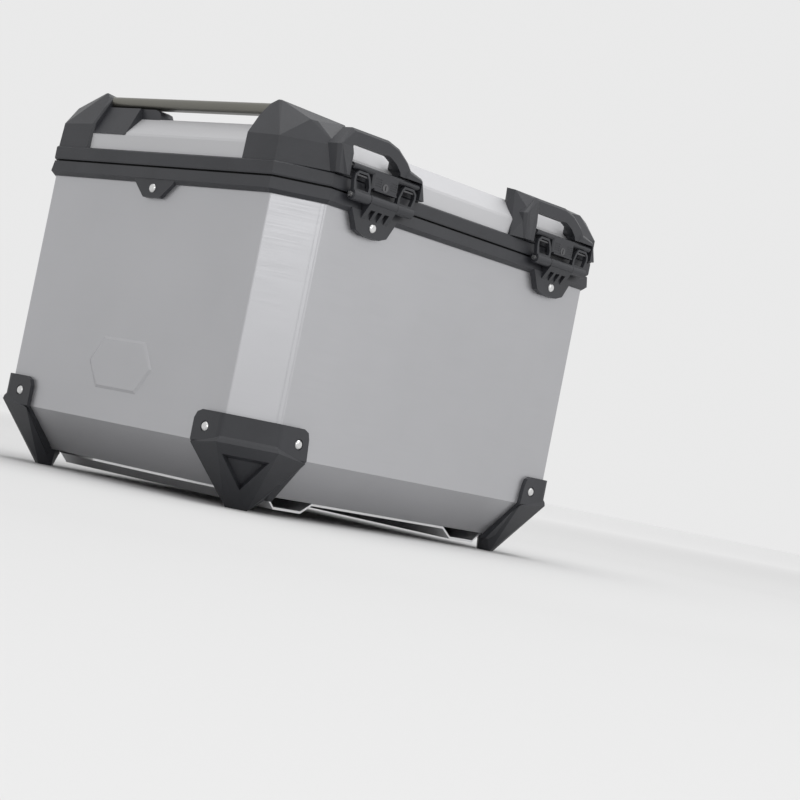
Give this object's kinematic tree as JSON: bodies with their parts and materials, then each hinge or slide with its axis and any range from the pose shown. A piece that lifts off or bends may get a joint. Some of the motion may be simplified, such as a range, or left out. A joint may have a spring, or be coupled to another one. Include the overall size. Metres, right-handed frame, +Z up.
{
  "type": "motorcycle top case",
  "caption": "Aluminium motorcycle top case with black corner protectors, frame rings, toggle latches, a lid that opens sideways and carry bars.",
  "frame": {"origin": "on the ground plane under the middle of the case, at the centre of the bounding box", "axes": "+Z up, +Y from the rear face to the front face along the longest side, +X towards the side whose latches open"},
  "size_m": [0.364, 0.4216, 0.3305],
  "materials": {
    "brushed_sheet": "satin",
    "plate_aluminium": "satin",
    "bar_aluminium": "satin",
    "black_plastic": "matte",
    "seal_rubber": "matte",
    "bright_steel": "satin",
    "dark_steel": "satin"
  },
  "bodies": {
    "case": {"case_body": "brushed_sheet", "base_plate": "plate_aluminium", "base_rivets": "bright_steel", "body_frame": "black_plastic", "frame_rivets": "bright_steel", "protector_rear_right": "black_plastic", "protector_rear_left": "black_plastic", "protector_front_right": "black_plastic", "protector_front_left": "black_plastic", "protector_rivets": "bright_steel", "hinge_pins": "bright_steel"},
    "lid": {"lid_shell": "brushed_sheet", "lid_frame": "black_plastic", "lid_seal": "seal_rubber", "lid_cap_rear_right": "black_plastic", "lid_cap_rear_left": "black_plastic", "lid_cap_front_right": "black_plastic", "lid_cap_front_left": "black_plastic", "cap_screws": "bright_steel", "carry_bar_rear": "bar_aluminium", "carry_bar_front": "bar_aluminium", "lever_pins": "bright_steel"},
    "lever_rear_right": {"lever_rear_right": "black_plastic"},
    "loops_rear_right": {"loops_rear_right": "black_plastic", "rods_rear_right": "dark_steel"},
    "lock_rear_right": {"lock_rear_right": "dark_steel"},
    "lever_front_right": {"lever_front_right": "black_plastic"},
    "loops_front_right": {"loops_front_right": "black_plastic", "rods_front_right": "dark_steel"},
    "lock_front_right": {"lock_front_right": "dark_steel"},
    "lever_rear_left": {"lever_rear_left": "black_plastic"},
    "loops_rear_left": {"loops_rear_left": "black_plastic", "rods_rear_left": "dark_steel"},
    "lock_rear_left": {"lock_rear_left": "dark_steel"},
    "lever_front_left": {"lever_front_left": "black_plastic"},
    "loops_front_left": {"loops_front_left": "black_plastic", "rods_front_left": "dark_steel"},
    "lock_front_left": {"lock_front_left": "dark_steel"}
  },
  "joints": [
    {"name": "lid_hinge", "type": "hinge", "parent": "case", "child": "lid", "pos_m": [-0.1775, 0, 0.264], "axis": [0, -1, 0], "range_deg": [0, 95]},
    {"name": "lever_rear_right_flip", "type": "hinge", "parent": "lid", "child": "lever_rear_right", "pos_m": [0.1757, -0.1215, 0.2868], "axis": [0, -1, 0], "range_deg": [0, 110]},
    {"name": "loops_rear_right_swing", "type": "hinge", "parent": "case", "child": "loops_rear_right", "pos_m": [0.1775, -0.1215, 0.264], "axis": [0, 1, 0], "range_deg": [0, 150]},
    {"name": "lock_rear_right_turn", "type": "hinge", "parent": "lever_rear_right", "child": "lock_rear_right", "pos_m": [0.1755, -0.1215, 0.277], "axis": [1, 0, 0], "range_deg": [0, 90]},
    {"name": "lever_front_right_flip", "type": "hinge", "parent": "lid", "child": "lever_front_right", "pos_m": [0.1757, 0.1215, 0.2868], "axis": [0, -1, 0], "range_deg": [0, 110]},
    {"name": "loops_front_right_swing", "type": "hinge", "parent": "case", "child": "loops_front_right", "pos_m": [0.1775, 0.1215, 0.264], "axis": [0, 1, 0], "range_deg": [0, 150]},
    {"name": "lock_front_right_turn", "type": "hinge", "parent": "lever_front_right", "child": "lock_front_right", "pos_m": [0.1755, 0.1215, 0.277], "axis": [1, 0, 0], "range_deg": [0, 90]},
    {"name": "lever_rear_left_flip", "type": "hinge", "parent": "lid", "child": "lever_rear_left", "pos_m": [-0.1757, -0.1215, 0.2868], "axis": [0, 1, 0], "range_deg": [0, 110]},
    {"name": "loops_rear_left_swing", "type": "hinge", "parent": "lid", "child": "loops_rear_left", "pos_m": [-0.1775, -0.1215, 0.264], "axis": [0, -1, 0], "range_deg": [0, 75]},
    {"name": "lock_rear_left_turn", "type": "hinge", "parent": "lever_rear_left", "child": "lock_rear_left", "pos_m": [-0.1755, -0.1215, 0.277], "axis": [1, 0, 0], "range_deg": [0, 90]},
    {"name": "lever_front_left_flip", "type": "hinge", "parent": "lid", "child": "lever_front_left", "pos_m": [-0.1757, 0.1215, 0.2868], "axis": [0, 1, 0], "range_deg": [0, 110]},
    {"name": "loops_front_left_swing", "type": "hinge", "parent": "lid", "child": "loops_front_left", "pos_m": [-0.1775, 0.1215, 0.264], "axis": [0, -1, 0], "range_deg": [0, 75]},
    {"name": "lock_front_left_turn", "type": "hinge", "parent": "lever_front_left", "child": "lock_front_left", "pos_m": [-0.1755, 0.1215, 0.277], "axis": [1, 0, 0], "range_deg": [0, 90]}
  ]
}
